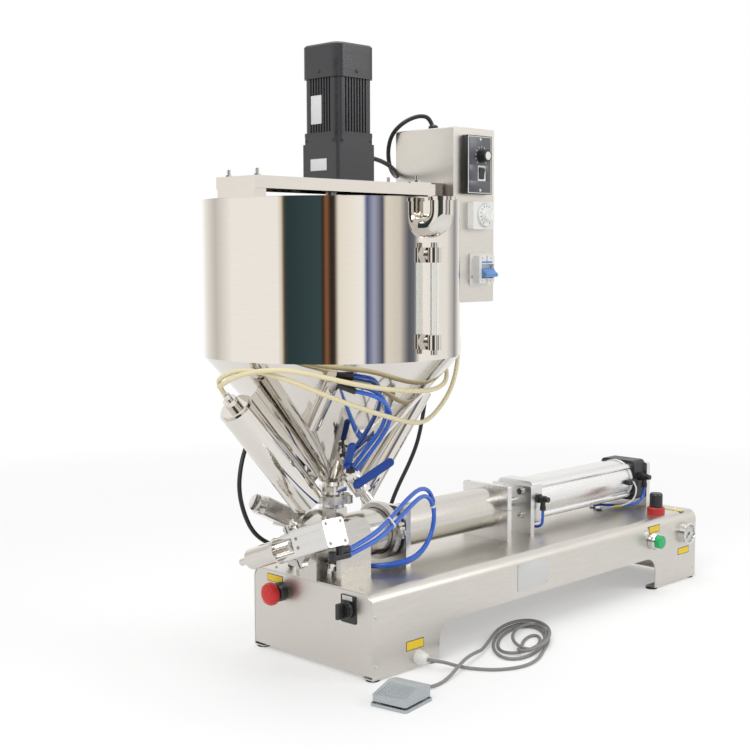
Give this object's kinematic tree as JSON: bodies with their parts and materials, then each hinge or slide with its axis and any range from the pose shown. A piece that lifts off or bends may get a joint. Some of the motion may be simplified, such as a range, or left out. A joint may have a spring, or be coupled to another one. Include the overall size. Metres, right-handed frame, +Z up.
{
  "type": "pneumatic paste filling machine",
  "caption": "Bench-top piston filler for pastes: steel base with an air-driven metering piston, rotary valve, shut-off nozzle, heated stirred hopper, control box and foot pedal.",
  "frame": {"origin": "middle of the machine's footprint, pedal included and cord left out, on the surface it stands on", "axes": "+X along the metering cylinder from the nozzle end to the rear, +Y to the far long side, +Z up"},
  "size_m": [1.2203, 0.5134, 1.067],
  "materials": {
    "brushed_sheet": "brushed sheet",
    "black_rubber": "matt",
    "screw_steel": "bright",
    "machined_aluminium": "machined",
    "polished_steel": "polished",
    "anodised_profile": "anodised",
    "black_caps": "satin",
    "black_fittings": "satin",
    "satin_steel": "satin",
    "cast_clamp": "cast and polished",
    "grey_cylinder": "anodised",
    "clear_glass": "clear",
    "black_gearbox": "satin",
    "black_motor": "satin",
    "white_modules": "satin",
    "black_collars": "gloss",
    "gauge_chrome": "polished",
    "red_ring": "gloss",
    "pedal_cast": "hammered",
    "chromed_rod": "ground",
    "white_seal": "machined",
    "red_head": "gloss",
    "black_knob": "satin",
    "green_button": "gloss",
    "needle_red": "matt",
    "dial_grey": "satin",
    "blue_toggle": "gloss",
    "blue_sleeve": "gloss",
    "grey_cord": "matt",
    "black_cord": "matt",
    "cream_cord": "matt",
    "blue_tube": "gloss"
  },
  "bodies": {
    "machine": {"base_cover": "brushed_sheet", "end_panels": "brushed_sheet", "base_feet": "black_rubber", "fasteners": "screw_steel", "upright_plates": "machined_aluminium", "clamp_caps": "machined_aluminium", "material_tube": "polished_steel", "air_barrel": "anodised_profile", "air_caps": "black_caps", "cylinder_fittings": "black_fittings", "valve_housing": "polished_steel", "valve_plates": "satin_steel", "pipe_clamps": "cast_clamp", "nozzle_body": "polished_steel", "nozzle_tip": "polished_steel", "nozzle_cylinder": "grey_cylinder", "rotor_cylinder": "grey_cylinder", "hopper_jacket": "polished_steel", "hopper_liner": "polished_steel", "outlet_column": "polished_steel", "heater_tubes": "satin_steel", "hopper_fittings": "polished_steel", "sight_glass": "clear_glass", "ball_valves": "polished_steel", "crossbar": "satin_steel", "gearbox": "black_gearbox", "motor_body": "black_motor", "control_box": "brushed_sheet", "panel_modules": "white_modules", "panel_fittings": "black_collars", "pressure_gauge": "gauge_chrome", "regulator_body": "red_ring", "pedal_base": "pedal_cast", "pedal_cord": "grey_cord", "pedal_coil": "grey_cord", "motor_cable": "black_cord", "heater_leads": "cream_cord", "power_cable_front": "black_cord", "power_cable_rear": "black_cord", "loop_tubes": "blue_tube", "cone_tubes": "blue_tube", "air_tubes": "blue_tube"},
    "drive": {"drive_rod": "chromed_rod", "material_piston": "white_seal"},
    "rotor": {"valve_rotor": "satin_steel"},
    "rotor_actuator": {"rotor_rod": "satin_steel"},
    "nozzle_plug": {"nozzle_rod": "satin_steel"},
    "stirrer": {"agitator": "satin_steel"},
    "stop_head": {"estop_head": "red_head"},
    "selector": {"selector_knob": "black_knob"},
    "start": {"start_button": "green_button"},
    "needle": {"gauge_needle": "needle_red"},
    "regulator": {"regulator_knob": "black_knob"},
    "speed_dial": {"speed_knob": "black_knob"},
    "speed_switch": {"speed_rocker": "black_knob"},
    "thermostat": {"thermostat_dial": "dial_grey"},
    "breaker": {"breaker_toggle": "blue_toggle"},
    "drain_handle": {"drain_lever": "blue_sleeve"},
    "bypass_handle": {"bypass_lever": "blue_sleeve"},
    "pedal": {"pedal_plate": "pedal_cast"}
  },
  "joints": [
    {"name": "drive_stroke", "type": "slide", "parent": "machine", "child": "drive", "axis": [1, 0, 0], "range_m": [0, 0.24]},
    {"name": "rotor_turn", "type": "hinge", "parent": "machine", "child": "rotor", "pos_m": [-0.3565, 0.032, 0.211], "axis": [0, 1, 0], "range_deg": [-90, 0]},
    {"name": "rotor_stroke", "type": "slide", "parent": "machine", "child": "rotor_actuator", "axis": [-0.891, 0, 0.454], "range_m": [0, 0.02828]},
    {"name": "nozzle_stroke", "type": "slide", "parent": "machine", "child": "nozzle_plug", "axis": [0, -0.9361, 0.3518], "range_m": [0, 0.012]},
    {"name": "stirrer_turn", "type": "hinge", "parent": "machine", "child": "stirrer", "pos_m": [-0.3565, 0.032, 0.6], "axis": [0, 0, 1], "continuous": true},
    {"name": "stop_press", "type": "slide", "parent": "machine", "child": "stop_head", "axis": [1, 0, 0], "range_m": [0, 0.005]},
    {"name": "selector_turn", "type": "hinge", "parent": "machine", "child": "selector", "pos_m": [-0.411, -0.064, 0.116], "axis": [1, 0, 0], "range_deg": [-45, 45]},
    {"name": "start_press", "type": "slide", "parent": "machine", "child": "start", "axis": [0, 1, 0], "range_m": [0, 0.004], "stiffness_N_per_m": 400, "springref_m": -0.002},
    {"name": "needle_turn", "type": "hinge", "parent": "machine", "child": "needle", "pos_m": [0.556, -0.1205, 0.105], "axis": [0, 1, 0], "range_deg": [0, 270]},
    {"name": "regulator_turn", "type": "hinge", "parent": "machine", "child": "regulator", "pos_m": [0.496, -0.084, 0.16], "axis": [0, 0, 1], "range_deg": [0, 720]},
    {"name": "speed_turn", "type": "hinge", "parent": "machine", "child": "speed_dial", "pos_m": [-0.058, -0.052, 0.891], "axis": [0, 1, 0], "range_deg": [0, 300]},
    {"name": "speed_rock", "type": "hinge", "parent": "machine", "child": "speed_switch", "pos_m": [-0.057, -0.05, 0.86], "axis": [1, 0, 0], "range_deg": [0, 14]},
    {"name": "thermostat_turn", "type": "hinge", "parent": "machine", "child": "thermostat", "pos_m": [-0.049, -0.054, 0.784], "axis": [0, 1, 0], "range_deg": [0, 300]},
    {"name": "breaker_throw", "type": "hinge", "parent": "machine", "child": "breaker", "pos_m": [-0.042, -0.054, 0.681], "axis": [1, 0, 0], "range_deg": [-78, 0]},
    {"name": "drain_turn", "type": "hinge", "parent": "machine", "child": "drain_handle", "pos_m": [-0.35158, -0.0239, 0.31819], "axis": [-0.6656, -0.7372, 0.1159], "range_deg": [-90, 0]},
    {"name": "bypass_turn", "type": "hinge", "parent": "machine", "child": "bypass_handle", "pos_m": [-0.39443, -0.03643, 0.378], "axis": [-0.3626, -0.6542, -0.6637], "range_deg": [0, 90]},
    {"name": "pedal_press", "type": "hinge", "parent": "machine", "child": "pedal", "pos_m": [-0.41546, -0.21379, 0.013], "axis": [-0.1736, 0.9848, 0], "range_deg": [-4, 0], "stiffness_Nm_per_rad": 20, "springref_deg": 5.73}
  ],
  "couplings": [
    {"joint": "rotor_stroke", "follows": "rotor_turn", "m_per_rad": -0.018006}
  ]
}
